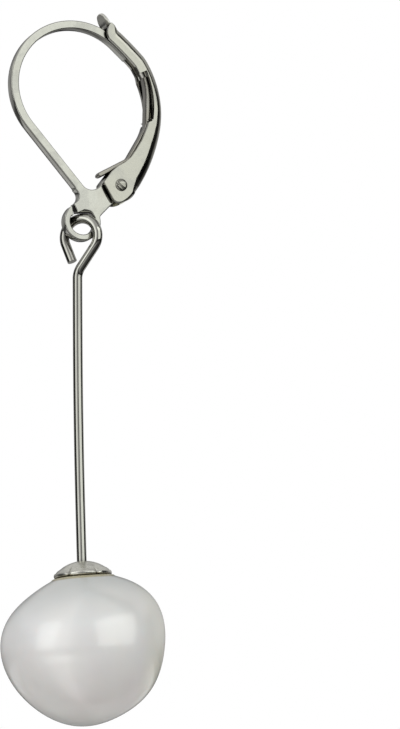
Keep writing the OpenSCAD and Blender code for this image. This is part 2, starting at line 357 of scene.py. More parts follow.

# %% [markdown]
# The pearl is grown in layers, so light goes a little way in before it comes back. Its surface is silky: a
# broad soft shine under a thinner clear one. The colour drifts slowly, rosy below and cream at one side, and
# a thread of glue has stained it round the cap's rim. A darker grey towards the top is painted shade, and a
# paler tone at the very bottom is painted light.

# %% Nacre
PEARL_CENTRE = (0, 0, -41.54 * MM)
CAP_FOOT = (0.05 * MM, 0.05 * MM, 0)
GLUE_TO, GLUE_FULL = 2.36 * MM, 2.16 * MM
nacre, layers, nacre_look = new_finish("nacre")
spot = added(layers, "TexCoord")["Object"]
to_middle = {"Vector": spot, "Location": [-c for c in PEARL_CENTRE]}
centred = added(layers, "Mapping", to_middle, vector_type="POINT")[0]
x_side, y_side, z_side = added(layers, "SeparateXYZ", {0: centred})
in_plan = added(layers, "CombineXYZ", {"X": x_side, "Y": y_side})[0]
from_cap = added(layers, "VectorMath", {0: in_plan, 1: CAP_FOOT}, operation="DISTANCE")
near_rim = between(layers, from_cap["Value"], GLUE_TO, GLUE_FULL)
glued = sums(layers, "MULTIPLY", near_rim, between(layers, z_side, 3 * MM, 3.5 * MM))
drift = noise(layers, centred, 180, 2, 0.45)
tone = (0.95, 0.945, 0.95, 1)
for share, colour in (
    (between(layers, z_side, 1.5 * MM, -3.5 * MM), (0.93, 0.87, 0.855, 1)),
    # Painted shade: greyer and darker towards the top.
    (between(layers, z_side, 1 * MM, 4.2 * MM), (0.73, 0.745, 0.73, 1)),
    # Painted light: paler and warmer at the very bottom.
    (between(layers, z_side, -3.4 * MM, -4.8 * MM), (0.98, 0.95, 0.91, 1)),
    (between(layers, x_side, 2.4 * MM, 5 * MM, 0, 0.7), (0.97, 0.95, 0.66, 1)),
    (between(layers, drift, 0.38, 0.62, 0, 0.6), (0.98, 0.965, 0.93, 1)),
    (glued, (0.5, 0.45, 0.28, 1)),
):
    tone = mixed(layers, share, tone, colour)
grain = bumped(layers, noise(layers, centred, 900, 4, 0.55), 0.5, 0.01)
filled(layers, nacre_look, {
    "Base Color": tone, "Roughness": 0.4, "Metallic": 0.13, "Normal": grain,
    "Coat Weight": 1, "Coat IOR": 1.82, "Coat Roughness": 0.125,
    "Subsurface Weight": 0.2, "Subsurface Radius": (1.0 * MM, 0.8 * MM, 0.7 * MM), "Subsurface Scale": 1.0,
})
print("nacre:", len(layers.nodes), "nodes")

# %% [markdown]
# ## Working shapes
# Three ways of making cover most of the piece. A skin is rings of points joined row by row: it makes the
# pearl, the rivet and bent strips. A walk lays a centre line out of straight runs and bends, as pliers do.
# A stamping is a flat outline with rounded rims, as a press and a tumbler leave it.

# %% Pieces out of points
WELD, SHARP_ANGLE = 0.0005 * MM, 40


def raw(name, points, faces):
    """A new object out of points in millimetres."""
    mesh = bpy.data.meshes.new(name)
    mesh.from_pydata((np.asarray(points) * MM).tolist(), [], [list(f) for f in faces])
    return placed(name, mesh)


def tidy_normals(mesh):
    """Welds the seams, fills single missing triangles and turns all faces outwards."""
    work = bmesh.new()
    work.from_mesh(mesh)
    bmesh.ops.remove_doubles(work, verts=work.verts, dist=WELD)
    bmesh.ops.holes_fill(work, edges=[e for e in work.edges if e.is_boundary], sides=3)
    bmesh.ops.recalc_face_normals(work, faces=work.faces)
    work.to_mesh(mesh)
    open_edges = sum(not e.is_manifold for e in work.edges)
    work.free()
    mesh.shade_smooth()
    return open_edges


def settle(made, body, node, finish):
    """Cleans a piece, gives it its finish and puts it on its CAD body, standing for its CAD node."""
    open_edges = tidy_normals(made.data)
    made.data.set_sharp_from_angle(angle=radians(SHARP_ANGLE))
    made.data.materials.clear()
    made.data.materials.append(finish)
    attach(made, body)
    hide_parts(node)
    print(f"{made.name}: {len(made.data.polygons)} faces, {open_edges} open edges")
    return made


def blank(name, points, faces):
    """A closed working mesh that is still to be joined or cut."""
    made = raw(name, points, faces)
    tidy_normals(made.data)
    return made


def skin(rows, closed=True):
    """Rings of points joined row by row; closed adds a fan to the middle of each end ring."""
    rows = np.asarray(rows, float)
    count, around = rows.shape[:2]
    points = list(rows.reshape(-1, 3))
    at = lambda i, j: i * around + j % around
    faces = [
        (at(i, j), at(i, j + 1), at(i + 1, j + 1), at(i + 1, j))
        for i in range(count - 1) for j in range(around)
    ]
    for row in (0, count - 1) if closed else ():
        points.append(rows[row].mean(axis=0))
        faces += [(at(row, j), at(row, j + 1), len(points) - 1) for j in range(around)]
    return np.array(points), faces


# %% Centre lines
def towards(degrees):
    """The direction of a heading: 0 is +X and 90 is up."""
    return np.array([cos(radians(degrees)), sin(radians(degrees))])


def lengths_along(points):
    """Each point's distance along the line."""
    return np.r_[0, np.cumsum(np.linalg.norm(np.diff(points, axis=0), axis=1))]


def places_along(at, reached, line):
    """A line's points at some distances along it."""
    return columns([np.interp(at, reached, line[:, k]) for k in (0, 1)])


def walk(start, heading, rows, step=0.1):
    """Points, headings and distances along rows of [straight run, bend radius, clockwise degrees]."""
    place = np.array(start, float)
    points, headings = [place], [heading]
    for run, bend, turn in rows:
        if run:
            count = max(1, round(run / step))
            points += [place + towards(heading) * run * k / count for k in range(1, count + 1)]
            headings += [heading] * count
            place = points[-1]
        if bend:
            count = max(2, round(abs(radians(turn)) * bend / step), round(abs(turn) / 3))
            aside = lambda h: copysign(bend, turn) * towards(h - 90)
            centre = place + aside(heading)
            for k in range(1, count + 1):
                now = heading - turn * k / count
                points.append(centre - aside(now))
                headings.append(now)
            place, heading = points[-1], now
    return np.array(points), np.array(headings), lengths_along(points)


def beside(points, headings, distance):
    """The line at a distance to the right of a walk."""
    h = np.radians(headings)
    return points + columns([np.sin(h), -np.cos(h)]) * np.reshape(distance, (-1, 1))


def disc(centre, radius, count=120):
    a = np.linspace(0, 2 * pi, count, endpoint=False)
    return columns([centre[0] + radius * np.cos(a), centre[1] + radius * np.sin(a)])


def rounded(share, least=0.0):
    """The height of a quarter circle at a share of its radius."""
    return np.sqrt(1 - (1 - np.clip(share, least, 1)) ** 2)


# %% [markdown]
# A stamped outline is many simple shapes laid over each other, less the holes. A triangulation that knows
# which shapes cover each triangle finds its edge. The edge then gets even steps and a slight blur, which is
# what tumbling with steel shot does to a fresh punched corner.

# %% Outlines
EASE = range(-4, 5)


def cells_of(shapes, wanted):
    """Triangles over all places that wanted() accepts by the numbers of the shapes there."""
    points, faces = [], []
    for shape in shapes:
        numbers = list(range(len(points), len(points) + len(shape)))
        x, z = np.transpose(shape)
        turns_left = np.dot(x, np.roll(z, -1)) > np.dot(z, np.roll(x, -1))
        faces.append(numbers if turns_left else numbers[::-1])
        points += [Vector(p) for p in shape]
    spots, _, cells, origins, _, owners = delaunay_2d_cdt(points, [], faces, 0, 1e-5)
    return spots, origins, [cell for cell, inside in zip(cells, owners) if wanted(set(inside))]


def outline_of(shapes, wanted):
    """The loops round the triangles that cells_of() gives."""
    spots, _, cells = cells_of(shapes, wanted)
    sides = {(a, b) for cell in cells for a, b in zip(cell, cell[1:] + cell[:1])}
    following = {a: b for a, b in sides if (b, a) not in sides}
    loops = []
    while following:
        first, at = following.popitem()
        loop = [first]
        while at != first:
            loop.append(at)
            at = following.pop(at)
        loops.append(np.array([spots[k] for k in loop]))
    return sorted(loops, key=len, reverse=True)


def tumbled(loop, soften=0.05, step=0.05):
    """The loop with even steps and its corners eased."""
    closed = np.vstack([loop, loop[:1]])
    reached = lengths_along(closed)
    count = int(reached[-1] / step)
    even = places_along(np.arange(count) * reached[-1] / count, reached, closed)
    reach = ceil(3 * soften / step)
    shifts = range(-reach, reach + 1)
    weights = np.array([exp(-0.5 * (k * step / soften) ** 2) for k in shifts])
    return sum(w * np.roll(even, k, axis=0) for k, w in zip(shifts, weights / weights.sum()))


def eased(values):
    """Values along a loop, each the mean of its neighbours."""
    return np.mean([np.roll(values, k) for k in EASE], axis=0)


def inward_of(loop):
    """The directions into the sheet, which is on the loop's left."""
    along = np.roll(loop, -1, axis=0) - np.roll(loop, 1, axis=0)
    return columns([-along[:, 1], along[:, 0]]) / np.linalg.norm(along, axis=1)[:, None]


# %% [markdown]
# A rounded rim moves the outline inwards, and would fold over itself where the sheet is narrow or turns a
# tight corner. A circle that touches the outline at one point and passes through another says how much room
# there is, so each radius is kept inside it.

# %% Stampings
LEAST_RIM, RIM_SPARE, NEIGHBOURS = 0.012, 0.03, 14


def unfolded(loops, rims):
    """The rim radii, kept small enough not to fold over."""
    everywhere = np.vstack(loops)
    wishes = np.concatenate([np.broadcast_to(rim, len(loop)) for loop, rim in zip(loops, rims)])
    kept, first = [], 0
    for loop in loops:
        count = len(loop)
        across = everywhere[None] - loop[:, None]
        ahead = np.einsum("ijk,ik->ij", across, inward_of(loop))
        circle = np.einsum("ijk,ijk->ij", across, across) / (2 * np.maximum(ahead, 1e-6))
        own = np.arange(len(everywhere)) - first
        steps_away = np.abs(own[None] - np.arange(count)[:, None])
        same = (own >= 0) & (own < count)
        neighbour = same[None] & (np.minimum(steps_away, count - steps_away) < NEIGHBOURS)
        room = np.where(neighbour, 0.8 * circle, 2 * circle - wishes[None] - RIM_SPARE)
        room = np.where(ahead > 1e-6, room, np.inf).min(axis=1)
        rim = np.maximum(np.minimum(wishes[first:first + count], room), LEAST_RIM)
        kept.append(eased(np.min([np.roll(rim, k) for k in EASE], axis=0)))
        first += count
    return kept


def stamping(loops, half, rims, steps=5, squash=1.0):
    """A flat part between y = -half and y = half, with a rim radius for each loop or point.

    squash is the rounding's depth through the sheet as a share of that radius.
    """
    points, faces, last_rows = [], [], ([], [])
    angles = np.radians(np.linspace(90, 0, steps + 1))
    for loop, rim in zip(loops, unfolded(loops, rims)):
        inward, rim = inward_of(loop), rim[:, None]
        rows = []
        for side, turns in ((-1, angles), (1, angles[::-1])):
            for angle in turns:
                flat = loop + inward * rim * (1 - cos(angle))
                height = side * (half - np.minimum(rim * squash, 0.97 * half) * (1 - sin(angle)))
                rows.append(columns([flat[:, 0], height[:, 0], flat[:, 1]]))
        first = len(points)
        more, tube = skin(rows, closed=False)
        points += list(more)
        faces += [tuple(first + k for k in face) for face in tube]
        for row, store in ((0, last_rows[0]), (len(rows) - 1, last_rows[1])):
            store.append(range(first + row * len(loop), first + (row + 1) * len(loop)))
    for store in last_rows:
        numbers = [k for ring in store for k in ring]
        flats = [[(points[k][0], points[k][2]) for k in ring] for ring in store]
        _, origins, cells = cells_of(flats, lambda covers: covers == {0})
        faces += [tuple(numbers[origins[k][0]] for k in cell) for cell in cells]
    return np.array(points), faces


# %% [markdown]
# ## The ear wire
# It is one stamping: the wire that goes through the ear, the plate that the lever is riveted to and the eye
# at the bottom are cut from one sheet, 0.8 mm thick. It could be a bent bar, but then the plate would need
# a weld. Here flat shapes are laid over each other, and their common outline gets its thickness and soft
# rims.

# %% Ear wire shapes
HOOP_TOP, EYE, PIVOT = (-0.42, 0.03), (0, -13.31), (2.55, -10.78)
WIRE_W, SHEET_T, HOOP_R = 0.56, 0.8, 4.23
EYE_R, EYE_HOLE_R = 1.27, 0.86
PLATE = [
    (-0.3, -10.9), (0, -10.75), (0.6, -11.05), (1.15, -10.8), (1.2, -10.66), (1.62, -10.25),
    (2.25, -10.2), PIVOT, (2.24, -11.54), (2.11, -11.97), (1.24, -12.87), (1.1, -13.31),
    (0, -12.2), (-0.76, -12.24), (-0.95, -11.6),
]
SLIT = np.array([(-0.6, 0.3), (-0.4, 0.36), (-0.36, 0.66), (-0.68, 1.28), (-0.8, 1.22), (-0.7, 0.8)]) + EYE


def band(start, heading, rows, width):
    """The flat shape that a strip of even width covers along a walk."""
    points, headings, _ = walk(start, heading, rows, step=0.08)
    return np.vstack([beside(points, headings, width / 2), beside(points, headings, -width / 2)[::-1]])


def low_topped(circle):
    """The eye's hole, which the plate's worn edge hangs into a little."""
    lowest = np.interp(circle[:, 0], [-0.65, -0.45, -0.3], [0.36, 0.5, 0.63])
    return columns([circle[:, 0], np.minimum(circle[:, 1], EYE[1] + lowest)])


hook_shapes = [
    band(HOOP_TOP, 0, [[0, HOOP_R, 41.9], [1.25, 0, 0]], WIRE_W),
    band(HOOP_TOP, 180, [[0, HOOP_R, -100], [0, 4.4, -30.6], [6.5, 0, 0]], WIRE_W),
    PLATE, disc(PIVOT, 0.68), disc(EYE, EYE_R), disc((0.62, -10.34), 0.78), disc((-0.81, -11.62), 0.55),
    low_topped(disc(EYE, EYE_HOLE_R)), SLIT, disc(PIVOT, 0.28),
]
print(len(hook_shapes), "flat shapes")

# %% Ear wire
SOLID, BARE_PLATE, BITES, HOLES = {0, 1, 3, 4}, 2, {5, 6}, {7, 8, 9}


def in_hook(covers):
    plate = BARE_PLATE in covers and not covers & BITES
    return (plate or bool(covers & SOLID)) and not covers & HOLES


def hook_rims(loop):
    """Nearly crisp rims that are worn round at the eye, most of all above its hole."""
    from_eye = np.linalg.norm(loop - EYE, axis=1)
    x, z = (loop - EYE).T
    above_hole = np.exp(-(x / 0.7) ** 6) * np.interp(z, [0.35, 0.55], [0, 1]) * (from_eye < EYE_HOLE_R + 0.03)
    return np.interp(from_eye, [1, 1.15, 1.3, 1.6], [0.1, 0.09, 0.09, 0.085]) + 0.14 * above_hole


hook_loops = [tumbled(loop, 0.06, 0.04) for loop in outline_of(hook_shapes, in_hook)]
print("ear wire loops:", [len(loop) for loop in hook_loops])
hook_skin = stamping(hook_loops, SHEET_T / 2, [hook_rims(loop) for loop in hook_loops])
settle(raw("ear_wire", *hook_skin), "hook", "ear_hook", stamped_silver)

# %% [markdown]
# ## The pearl
# A baroque pearl is nearly round, but swells where the shell let it, so a sphere would look false. The
# distance from its middle to its skin is a mean radius and six smooth swellings round the side that faces
# the camera. The rows of points run up to the cap, rise over the thread of glue at its rim, dip under it
# and go down the hole that is drilled for the wire.

# %% Sizes of the drop
FACE_TURN = radians(-108.5)
PEARL_R, PEARL_Z, PEARL_DEPTH = 5.12, -41.54, 0.97
SWELLINGS = [
    [1, 0.217, 61], [2, 0.232, 17.2], [3, 0.133, 44.7], [4, 0.02, -2.6], [5, 0.059, 33.9], [6, 0.031, -24],
]
LOOP_R, LOOP_OUT, LOOP_Z, STEM_LEAN = 1.21, towards(-43.5), -14.26, 0.61
DROP_D, LOOP_OPEN, FREE_TURN, NECK_R, NECK_S, PEG_Z = 0.64, 37, 22, 1.2, -0.28, -40.2
CAP_TOP, CAP_R, CAP_H, CAP_T, CAP_LEAN = -35.72, 1.91, 1.04, 0.2, radians(4)
DOME_R = (CAP_R ** 2 + CAP_H ** 2) / (2 * CAP_H)
LEG = (LOOP_R * cos(radians(LOOP_OPEN)) - NECK_S) / sin(radians(LOOP_OPEN))
NECK_Z = LOOP_Z - LOOP_R * sin(radians(LOOP_OPEN)) - LEG * cos(radians(LOOP_OPEN))
NECK_BEND = NECK_R * tan(radians((LOOP_OPEN + STEM_LEAN) / 2))


def stem_s(z):
    """How far out the stem is at a height."""
    return NECK_S + (NECK_Z - z) * tan(radians(STEM_LEAN))


def on_stem(z):
    """The middle of the stem at a height."""
    return np.array([*(stem_s(z) * LOOP_OUT), z])


lean_axis = Vector((cos(FACE_TURN), sin(FACE_TURN), 0))
CAP_TILT = np.array(Matrix.Rotation(CAP_LEAN, 3, lean_axis))
cap_axis = CAP_TILT @ [0, 0, 1]
dome_middle = np.array([0, 0, -DOME_R]) @ CAP_TILT.T + on_stem(CAP_TOP)
print("neck at", round(NECK_Z, 2), "mm")

# %% Pearl
GLUE_H, GLUE_W, GLUE_OUT = 0.05, 0.09, 0.08
UNDER_CAP, UNDER_CAP_Z = 0.05, -37.2
LATITUDES = np.radians(np.r_[np.linspace(-89.5, 59, 140), np.linspace(59.3, 78, 76)])
DRILLED = ((0.6, 0.02), (0.44, 0), (0.4, -0.05), (0.4, -1), (0.4, -2))


def pearl_reach(lon, lat):
    """The pearl's radius in a direction, with angles in radians."""
    sideways = np.cos(lat) * np.sin(lon - FACE_TURN)
    depth = np.cos(lat) * np.cos(lon - FACE_TURN)
    upward = np.sin(lat)
    across, angle = np.hypot(sideways, upward), np.arctan2(upward, sideways)
    swell = sum(h * across ** n * np.cos(n * (angle - radians(a))) for n, h, a in SWELLINGS)
    return (PEARL_R + swell) * (1 - (1 - PEARL_DEPTH) * depth ** 2)


around = np.linspace(0, 2 * pi, 192, endpoint=False)
ring = columns([np.cos(around), np.sin(around), 0 * around])
rows_up = []
for lat in LATITUDES:
    outward = ring * np.cos(lat) + [0, 0, np.sin(lat)]
    row = outward * pearl_reach(around, lat)[:, None] + [0, 0, PEARL_Z]
    off = row - dome_middle
    from_middle = np.linalg.norm(off, axis=1)
    from_axis = np.linalg.norm(np.cross(off, cap_axis), axis=1)
    glue = GLUE_H * np.exp(-((from_axis - CAP_R - GLUE_OUT) / GLUE_W) ** 2) * (lat > 0)
    row = row + glue[:, None] * outward
    limit = DOME_R - CAP_T - UNDER_CAP
    inside_rim = np.hypot(row[:, 0] - dome_middle[0], row[:, 1] - dome_middle[1]) < CAP_R - CAP_T
    dip = (row[:, 2] > UNDER_CAP_Z) & (from_middle > limit) & inside_rim
    row[dip] = dome_middle + off[dip] / from_middle[dip, None] * limit
    rows_up.append(row)
mouth = on_stem(rows_up[-1][:, 2].mean())
rows_up += [mouth + ring * r + [0, 0, z] for r, z in DRILLED]
pearl = settle(raw("baroque_pearl", *skin(rows_up)), "drop", "pearl", nacre)

# %% [markdown]
# ## The drop wire
# One length of round wire makes the peg in the pearl, the long stem, the neck and the loop. It is the
# plainest case of a shape that follows a path, so Geometry Nodes do it: the centre line is a curve, and the
# tree runs a round profile along it and closes its ends.

# %% A tree that makes wire along a path
def shape_tree(name, inputs):
    """A Geometry Nodes tree, what it is given, and its output node."""
    rows = [["Geometry", "Geometry"], *inputs, ["Finish", "Material"]]
    tree, tree_in, tree_out = group_of(name, "GeometryNodeTree", rows, [["Geometry", "Geometry"]])
    print(name, [item.name for item in tree.interface.items_tree])
    return tree, tree_in.outputs, tree_out


def ended(tree, given, tree_out, geometry):
    """Ends a tree with Realize Instances and Set Material."""
    real = added(tree, "RealizeInstances", {0: geometry})[0]
    dressed = added(tree, "SetMaterial", {"Geometry": real, "Material": given["Finish"]})
    filled(tree, tree_out, {0: dressed[0]})


wire_tree, given, wire_out = shape_tree(
    "Wire along a path", [["Radius", "Float", 0.3 * MM], ["Sides", "Int", 32]]
)
profile = added(wire_tree, "CurvePrimitiveCircle", {"Radius": given["Radius"], "Resolution": given["Sides"]})
swept = added(wire_tree, "CurveToMesh", {
    "Curve": given["Geometry"], "Profile Curve": profile["Curve"], "Fill Caps": True,
})
ended(wire_tree, given, wire_out, swept["Mesh"])

# %% Plain meshes out of trees
def grown(name, source, tree, values):
    """The plain mesh that a Geometry Nodes tree makes from an object."""
    modifier = source.modifiers.new("nodes", "NODES")
    modifier.node_group = tree
    inputs = {i.name: i.identifier for i in tree.interface.items_tree if i.in_out == "INPUT"}
    for label, value in values.items():
        modifier[inputs[label]] = value
    return evaluated(name, source)


def evaluated(name, source, *used):
    """The plain mesh that a source's modifiers make; source and what they used are removed."""
    view = bpy.context.evaluated_depsgraph_get()
    mesh = bpy.data.meshes.new_from_object(source.evaluated_get(view))
    mesh.name = name
    for each in (source, *used):
        bpy.data.objects.remove(each)
    return placed(name, mesh)


# %% [markdown]
# The line starts at the peg, leans with the stem, bends at the neck and goes round the loop. The free end
# is filed round, so the radius falls there as a quarter ellipse. No long thin wire stays quite straight:
# the stem bows by a twelfth of a millimetre.

# %% Drop wire
END_ROUND, STEM_BOW, FREE_L = 0.17, 0.08, 1.27
stem_l = NECK_Z - NECK_BEND - PEG_Z
drop_line, _, drop_reached = walk(
    (stem_s(PEG_Z), PEG_Z), 90 + STEM_LEAN,
    [[stem_l, NECK_R, LOOP_OPEN + STEM_LEAN],
     [LEG - NECK_BEND, LOOP_R, -(180 + LOOP_OPEN + FREE_TURN)], [FREE_L, 0, 0]],
    step=0.08,
)
whole = drop_reached[-1]
end_steps = whole - END_ROUND * (1 - np.sin(np.radians(np.linspace(0, 88, 8))))
even = np.r_[np.arange(0, whole - END_ROUND, 0.06), end_steps]
flat_line = places_along(even, drop_reached, drop_line)
at_cap = CAP_TOP - PEG_Z
flat_line[:, 0] -= STEM_BOW * np.sin(pi * np.clip((even - at_cap) / (stem_l - at_cap), 0, 1))
drop_radii = 1 - END_ROUND / (DROP_D / 2) * (1 - rounded((whole - even) / END_ROUND))
s, z = flat_line.T
drop_points = columns([np.outer(s, LOOP_OUT), z])
drop_curve = bpy.data.curves.new("drop line", "CURVE")
drop_curve.dimensions = "3D"
spline = drop_curve.splines.new("POLY")
spline.points.add(len(drop_points) - 1)
for point, place, share in zip(spline.points, drop_points * MM, drop_radii):
    point.co = (*place, 1)
    point.radius = share
wire_values = {"Radius": DROP_D / 2 * MM, "Sides": 48, "Finish": drawn_silver}
drop_wire = grown("drop_wire_drawn", placed("drop line", drop_curve), wire_tree, wire_values)
settle(drop_wire, "drop", "drop_wire", drawn_silver)
print("wire from peg to free end:", round(whole, 1), "mm")

# %% [markdown]
# ## The lever
# The lever is one folded channel: a back, and two side walls that widen into the heel where the rivet goes
# through. A sheet could be swept along the back, but the walls have an outline of their own. So the outside
# is one thick stamping with rims rounded a lot along the fold and little at the free edges, and a thinner
# stamping is cut out of it.

# %% Lever outline
LEVER_W, LEVER_T = 1.7, 0.26
GRIP_DEPTH, RIM_DEPTH, WINDOW_L = 0.96, 0.65, 3.7
TAB_FOOT, BACK_HEADING, TAB_HEADING = (1.93, 0.26), -37.7, -60
TOP_ROUND, HEEL_R, LEVER_HOLE_R = 0.7, 1.35, 0.26
GRIP_PATH = [[0, 20.7, 8.6], [0, 1.95, 12.6], [0, 6.82, 4.7]]
HEEL_PATH = [[0, 6.82, 38], [0, 11.16, 22.2]]
WALL = [
    (5.01, -6.13), (4.54, -6.35), (4.39, -6.79), (4.03, -7.63), (3.6, -8.34), (3.25, -8.84),
    (2.82, -9.21), (2.32, -9.51), (1.9, -9.88), (1.33, -10.65), (1.9, -11.62), (2.04, -11.84),
    (2.25, -11.96), (2.54, -11.95), (3, -12.3), (5.5, -12.3), (5.5, -6.13),
]
WALL_BACK = disc((-5.593, -4.823), 10.7, 240)
HEEL = np.array([
    (3.69, -11.08), (3.61, -11.24), (3.5, -11.39), (3.38, -11.52), (3.26, -11.62), (3.13, -11.71),
    (3, -11.78), (2.85, -11.85), (2.7, -11.91), (2.54, -11.95),
])
# The fold's roundness takes its edge back, so the whole back stands out a little further
SWELL = [[0, 1, 4, 7, 9.5, 12.3, 13], [0.02, 0.1, 0.12, 0.1, 0.15, 0.12, 0.04]]

plan_line, bearings, back_at = walk(TAB_FOOT, BACK_HEADING, GRIP_PATH + HEEL_PATH, step=0.06)
back_line = beside(plan_line, bearings, -np.interp(back_at, *SWELL))
grip_end = back_at[-1] - sum(radians(turn) * bend for _, bend, turn in HEEL_PATH)
window_end = grip_end + WINDOW_L
grip_depth = GRIP_DEPTH * rounded(back_at / TOP_ROUND, 0.02)
wall_depth = np.where(back_at < window_end, grip_depth, RIM_DEPTH)
fold_line = np.vstack([back_line, HEEL])
lever_shapes = [
    np.vstack([back_line, beside(plan_line, bearings, wall_depth)[::-1]]),
    WALL, WALL_BACK, disc(PIVOT, HEEL_R), disc(PIVOT, LEVER_HOLE_R),
    np.vstack([fold_line, [(2.2, -12.2), (0, -12.2), (0, 0.9), (1.6, 0.9)]]),
]


def in_lever(covers):
    wall = 1 in covers and bool(covers & {2, 3})
    return (0 in covers or wall) and 4 not in covers and 5 in covers


lever_loops = [tumbled(loop, 0.04, 0.04) for loop in outline_of(lever_shapes, in_lever)]
print("lever loops:", [len(loop) for loop in lever_loops], "window from", round(grip_end, 1), "mm")

# %% [markdown]
# The fold is widest over the window and at the heel, where the sheet was hammered round a rod. The inside
# has the same fold less the sheet's thickness, and is open towards the hoop. Booleans need closed shapes,
# so both are whole stampings.

# %% Lever channel
FREE_RIM, HOLE_RIM = 0.05, 0.02
FOLD_NEAR, FOLD_START = 0.08, 0.5
# How wide the fold is at distances along the back and round the heel
FOLDS = [[0, 4, 7, 9.5, 12.6, 13.4, 14.6], [0.7, 0.72, 0.6, 0.9, 0.9, 0.5, 0.12]]


def fold_rims(loop, line, reached, thinner, plain):
    """A loop's rim radii: the fold's along the line, eased into the plain one."""
    gaps = np.linalg.norm(loop[:, None] - line[None], axis=2)
    place = reached[gaps.argmin(axis=1)]
    fold = plain + (np.interp(place, *FOLDS) - thinner - plain) * np.clip(place / FOLD_START, 0, 1)
    return eased(np.where(gaps.min(axis=1) < FOLD_NEAR, fold, plain))


def cut_out(whole, cutter):
    """The first closed mesh less the second."""
    step = whole.modifiers.new("cut", "BOOLEAN")
    step.object, step.operation, step.solver = cutter, "DIFFERENCE", "EXACT"
    return evaluated("channel", whole, cutter)


outer_rims = [fold_rims(lever_loops[0], fold_line, lengths_along(fold_line), 0, FREE_RIM), HOLE_RIM]
outside = blank("lever outside", *stamping(lever_loops[:2], LEVER_W / 2, outer_rims, 10, 0.9))
inner_line = beside(back_line, bearings, LEVER_T)
last_out = beside(back_line, bearings, -1)[-1]
room = np.vstack([[(-1, 0.66), (0.98, 0.66)], inner_line, [last_out, (4.5, -13), (-1, -13)]])
room_loop = tumbled(room[::-1], 0.03, 0.05)
room_rims = fold_rims(room_loop, inner_line, back_at, LEVER_T - 0.04, 0.03)
inside = blank("lever inside", *stamping([room_loop], LEVER_W / 2 - LEVER_T, [room_rims], 6))
channel = cut_out(outside, inside)
print("channel:", len(channel.data.polygons), "faces")

# %% [markdown]
# The far wall is a little shallower than the front one, from the tab to the end of the window. The front
# wall is cut away over the window, where the spring leaf shows. Each cut follows the back at depths of its
# own, so it is one more stamping, taken out of one wall alone.

# %% Window and far wall
FAR_WALL = [[-1, 0.74], [grip_end, 0.7], [grip_end + 0.5, 0.8], [window_end, 0.74]]
WINDOW = [[grip_end, 0.37], [window_end, 0.6]]


def cut_off(made, rows, side):
    """The channel without one wall past rows of [distance along the back, depth]."""
    stops, depths = np.transpose(rows)
    here = (back_at > stops[0]) & (back_at < stops[-1])
    edge = beside(plan_line[here], bearings[here], np.interp(back_at[here], stops, depths))
    beyond = beside(plan_line[here], bearings[here], GRIP_DEPTH + 0.5)
    points, faces = stamping([tumbled(np.vstack([beyond, edge[::-1]]), 0.03)], 0.5, [0.02])
    return cut_out(made, blank("cut", points + [0, side * LEVER_W / 2, 0], faces))


channel = cut_off(channel, FAR_WALL, 1)
channel = cut_off(channel, WINDOW, -1)
print("after its cuts:", len(channel.data.polygons), "faces")

# %% [markdown]
# The thumb tab is the end of the same strip, bent outwards and rounded: a strip with soft corners that
# stands across the channel. Its lower end hides inside the channel's top, so the lever is two closed skins
# in one object, with no ragged seam.

# %% Strips
BOX_SIDES, CORNER = 40, 0.4


def soft_box(width, thick):
    """A rectangle with soft corners, as rows of [across, through]."""
    a = np.linspace(0, 2 * pi, BOX_SIDES, endpoint=False)
    soft = lambda share: np.sign(share) * np.abs(share) ** CORNER
    return columns([width / 2 * soft(np.cos(a)), thick / 2 * soft(np.sin(a))])


def strip(line, headings, widths, thicks, middle=0.0):
    """A skin round a strip across the hook's plane; middle moves it to the right of its line."""
    centre = beside(line, headings, middle)
    rows = []
    for place, heading, width, thick in zip(centre, headings, widths, thicks):
        box = soft_box(width, thick)
        flat = place + box[:, 1:] * towards(heading - 90)
        rows.append(columns([flat[:, 0], box[:, 0], flat[:, 1]]))
    return skin(rows)


def together(name, first, second):
    """A new object with the closed skins of two, the end of one hidden in the other."""
    work = bmesh.new()
    for used in (first, second):
        work.from_mesh(used.data)
        bpy.data.objects.remove(used)
    mesh = bpy.data.meshes.new(name)
    work.to_mesh(mesh)
    work.free()
    return placed(name, mesh)


# %% Thumb tab
TAB_W, TAB_L, TAB_BEND, TAB_HIDDEN, TAB_EDGE = 1.6, 0.92, 0.8, 0.25, 0.13
bend_share = TAB_BEND * tan(radians((BACK_HEADING - TAB_HEADING) / 2))
tab_line, tab_headings, tab_reached = walk(
    np.array(TAB_FOOT) - TAB_L * towards(TAB_HEADING), TAB_HEADING,
    [[TAB_L - bend_share, TAB_BEND, TAB_HEADING - BACK_HEADING], [TAB_HIDDEN, 0, 0]], step=0.05,
)
near_tip = 1 - np.cos(np.radians(np.linspace(4, 90, 14)))
stops = np.r_[near_tip * TAB_W / 2, np.arange(0.85, tab_reached[-1], 0.06)]
tapers = [0, TAB_L, tab_reached[-1]]
tab_widths = TAB_W * rounded(stops / (TAB_W / 2)) * np.interp(stops, tapers, [1, 1, 0.7])
tab_thicks = LEVER_T * rounded(stops / TAB_EDGE) * np.interp(stops, tapers, [0.98, 0.94, 0.6])
tab = blank("thumb tab", *strip(
    places_along(stops, tab_reached, tab_line), np.interp(stops, tab_reached, tab_headings),
    tab_widths, tab_thicks, LEVER_T / 2,
))
settle(together("folded_lever", channel, tab), "clasp", "lever", folded_silver)

# %% [markdown]
# ## Spring leaf and rivet
# The leaf is a plain strip of springy sheet, bent three times. Its tongue presses on the edge of the plate
# and snaps the lever open or shut. The rivet is closed with a cup punch, which leaves a low dome; the punch
# slipped and left a line across it. It is a profile that goes once round the pivot.

